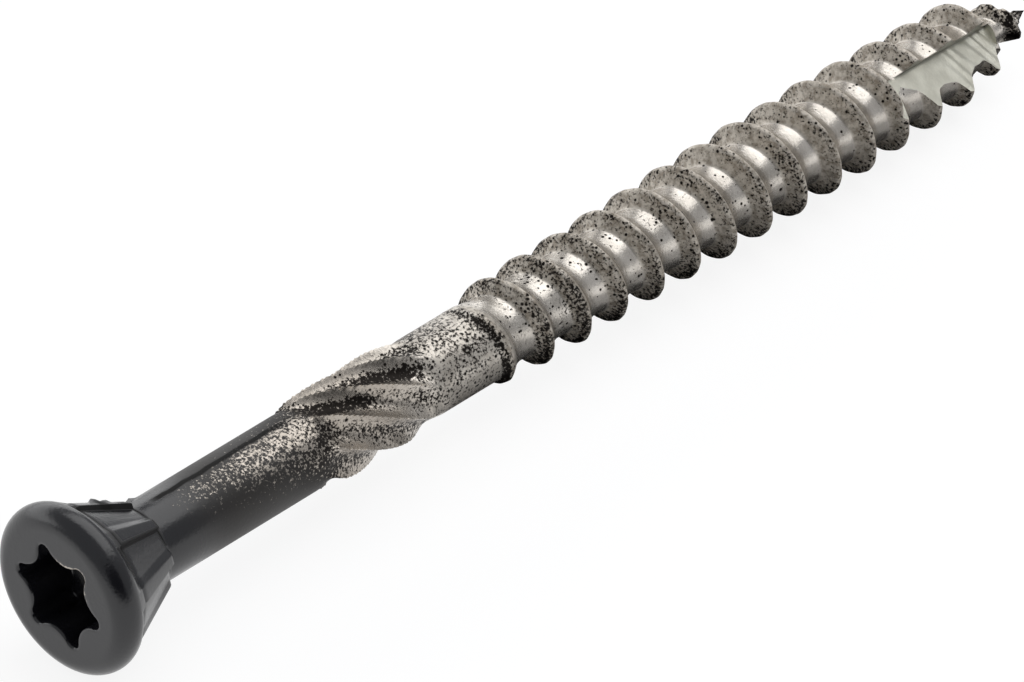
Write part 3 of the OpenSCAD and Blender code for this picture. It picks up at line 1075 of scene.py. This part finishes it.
# %% Attribute "dull"
DULL_HEIGHT = (0.45, 0.8)
DULL_FACING = (0.62, 0.85)
COLLAR_START = (19.5, 21.5)
COLLAR_END = (23.8, 24.8)
COLLAR_DULL = 0.4

crest = smooth(*DULL_HEIGHT, height)
flank = smooth(*DULL_FACING, facing) * on_thread
collar = smooth(*COLLAR_START, along) * (1 - smooth(*COLLAR_END, along))
corner_attribute(cut_mesh, "dull", np.maximum.reduce([crest, flank, COLLAR_DULL * collar]))

# %% [markdown]
# ### Painted reflection line and painted shadows
# The shank has a painted dark reflection line, a little wavy. Painted shadows draw
# black lines along the teeth's walls and ends on the side that the camera sees, and
# two marks beside the lumps. One wall of the slot has painted shade as well.

# %% Attribute "seam"
REFLECTION_LINE_AT = 42.5
REFLECTION_LINE_EDGE = (3.0, 5.5)
REFLECTION_LINE_START = (5.2, 5.9)
REFLECTION_LINE_END = (12.4, 13.6)
LUMP_SHADOWS = ((3.2, 33, 1.4, 0.22), (4.25, 28, 1.4, 0.2))
TOOTH_SHADOW = 0.8
GROOVE_AT = 1.7
WALL_PHASE = 0.015
SLOT_SHADE = 0.5
ON_WALL = 0.004


def painted_reflection_line(z, a):
    """A painted dark reflection: a line along the shank at its given angle, which strays by the
    crest's own wobble.
    """
    off_line = np.abs(a - REFLECTION_LINE_AT - wobble(z * 90) * 60)
    on_shank = smooth(*REFLECTION_LINE_START, z) * (1 - smooth(*REFLECTION_LINE_END, z))
    return (1 - smooth(*REFLECTION_LINE_EDGE, off_line)) * on_shank


def painted_tooth_shadows(z, a):
    """Painted shadow: lines on the teeth's sharp walls and round both of their ends, on the camera's
    side.
    """
    phase = ((a - TOOTH_TURN) * TOOTH_COUNT / 360 + 0.5) % 1 - 0.5
    on_teeth = smooth(TOOTH_START, TOOTH_START + 0.15, z) * smooth(TOOTH_END + 0.05, TOOTH_END, z)
    walls = smooth(0.07, 0.03, np.abs(phase - WALL_PHASE)) * on_teeth
    ends = smooth(0.16, 0.06, np.minimum(np.abs(z - GROOVE_AT), np.abs(z - TOOTH_END)))
    return TOOTH_SHADOW * np.maximum(walls, ends) * smooth(65, 35, np.abs(a - 50))


def slot_wall(own):
    """True for the corners on the slot's one wall, which stands at -SLOT_WALL across
    the block. The corners are first taken back to the block's own frame."""
    in_slot = taken_back(own, SLOT_PLACE)
    on_plane = np.abs(in_slot[:, 1] + SLOT_WALL) < ON_WALL
    return on_plane & (in_slot[:, 0] > -0.03) & (in_slot[:, 2] > -1)


# The two marks beside the lumps are painted shadows.
marks = sum(lump(along, angle, *place) for place in LUMP_SHADOWS)
# The shank's line is a painted reflection, and the teeth's lines are painted shadows.
lines = painted_reflection_line(along, angle) + marks + painted_tooth_shadows(along, angle)
# One wall of the slot gets painted shade.
corner_attribute(cut_mesh, "seam", np.clip(lines + SLOT_SHADE * slot_wall(own), 0, 1))

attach(screw, "root")
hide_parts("screw")

# %% [markdown]
# ## Floor
# A pale floor, which takes the screw's soft shadow. To the camera it also glows,
# so that it stays white and its shadows stay pale.

# %% Floor
FLOOR_WHITE = (0.86, 0.86, 0.87, 1)
FLOOR_HALF = 6
GLOW = 1.08
GLOW_SHARE = 0.8
ONE_QUAD = [np.array([[0, 1, 2, 3]])]


def pale_floor():
    """Diffuse white, and to the camera and in reflections a share of even white too,
    which lifts the shadow without any more light on the screw."""
    material = bpy.data.materials.new("pale_floor")
    material.use_nodes = True
    tree = material.node_tree
    tree.nodes.clear()
    path = tree.nodes.new("ShaderNodeLightPath")
    seen = calc(tree, "ADD", path.outputs["Is Camera Ray"], path.outputs["Is Glossy Ray"])
    seen = calc(tree, "ADD", seen, path.outputs["Is Transmission Ray"])
    share = calc(tree, "MULTIPLY", calc(tree, "MINIMUM", seen, 1.0), GLOW_SHARE)
    diffuse = add_node(tree, "ShaderNodeBsdfDiffuse", {"Color": FLOOR_WHITE})
    glow = add_node(tree, "ShaderNodeEmission", {"Color": (1, 1, 1, 1), "Strength": GLOW})
    both = add_node(
        tree, "ShaderNodeMixShader", {0: share, 1: diffuse.outputs[0], 2: glow.outputs[0]})
    output = tree.nodes.new("ShaderNodeOutputMaterial")
    tree.links.new(both.outputs[0], output.inputs[0])
    return material


floor_corners = FLOOR_HALF * np.array([(-1, -1, 0), (1, -1, 0), (1, 1, 0), (-1, 1, 0)])
floor = add_mesh("floor", floor_corners, ONE_QUAD)
floor.data.materials.append(pale_floor())

# %% [markdown]
# ## Light
# A soft box hangs high, beyond the screw's point, and its picture is the bright band
# on every turn. A long low one stands behind the screw and lights its far side, and a
# dim sky fills the rest. Cards that only reflections see darken what the screw
# mirrors, as card does in a studio: two lie under the thread, and a black one stands
# on the camera's side.

# %% Lamps, cards and sky
SKY_TINT = (0.95, 0.97, 1.0, 1)
SKY_STRENGTH = 0.42
CARD_ENDS = (-0.0075, 0.036)


def soft_box(name, centre, size, target, radiance):
    """An area lamp that looks at `target`. Its power is its radiance times pi times
    its area."""
    data = bpy.data.lights.new(name, "AREA")
    data.shape = "RECTANGLE"
    data.size = size[0]
    data.size_y = size[1]
    data.energy = radiance * size[0] * size[1] * math.pi
    lamp = bpy.data.objects.new(name, data)
    lamp.location = centre
    look = Vector(target) - Vector(centre)
    lamp.rotation_euler = look.to_track_quat("-Z", "Y").to_euler()
    lamp.visible_camera = False
    bpy.context.scene.collection.objects.link(lamp)


def card_material(name, tone):
    material = bpy.data.materials.new(name)
    material.use_nodes = True
    shader = material.node_tree.nodes["Principled BSDF"]
    shader.inputs["Base Color"].default_value = (tone, tone, tone, 1)
    shader.inputs["Roughness"].default_value = 1.0
    shader.inputs["Specular IOR Level"].default_value = 0.0
    return material


def reflection_card(name, corners, material):
    """A flat card for reflections alone: it hides nothing from the camera and casts no
    shadow."""
    card = add_mesh(name, np.array(corners), ONE_QUAD)
    card.data.materials.append(material)
    for ray in ("camera", "diffuse", "shadow", "transmission"):
        setattr(card, "visible_" + ray, False)


def card_under(name, front, back, height, material):
    """A strip of card on the floor along the thread, between two values of y."""
    x0, x1 = CARD_ENDS
    strip = [(x0, front, height), (x1, front, height), (x1, back, height), (x0, back, height)]
    reflection_card(name, strip, material)


card_black = card_material("card_black", 0.01)
card_grey = card_material("card_grey", 0.42)
soft_box("top_light", (0.29, 0.02, 0.35), (0.56, 0.5), target=(0.29, 0.02, 0.0), radiance=1.5)
soft_box("back_light", (0.1, 0.55, 0.18), (1.5, 0.30), target=(0.1, 0.0, 0.0), radiance=1.3)
card_under("low_card", front=-0.0024, back=0.0026, height=0.0002, material=card_black)
card_under("low_card_wide", front=-0.0078, back=0.0028, height=0.0001, material=card_grey)
front_card = [(-1.2, -0.6, 0.01), (0.0, -0.6, 0.01), (0.0, -0.6, 0.6), (-1.2, -0.6, 0.6)]
reflection_card("front_card", front_card, card_black)

world = bpy.data.worlds.new("World")
world.use_nodes = True
world.node_tree.nodes["Background"].inputs["Color"].default_value = SKY_TINT
world.node_tree.nodes["Background"].inputs["Strength"].default_value = SKY_STRENGTH
bpy.context.scene.world = world
bpy.context.scene.view_settings.view_transform = "Standard"
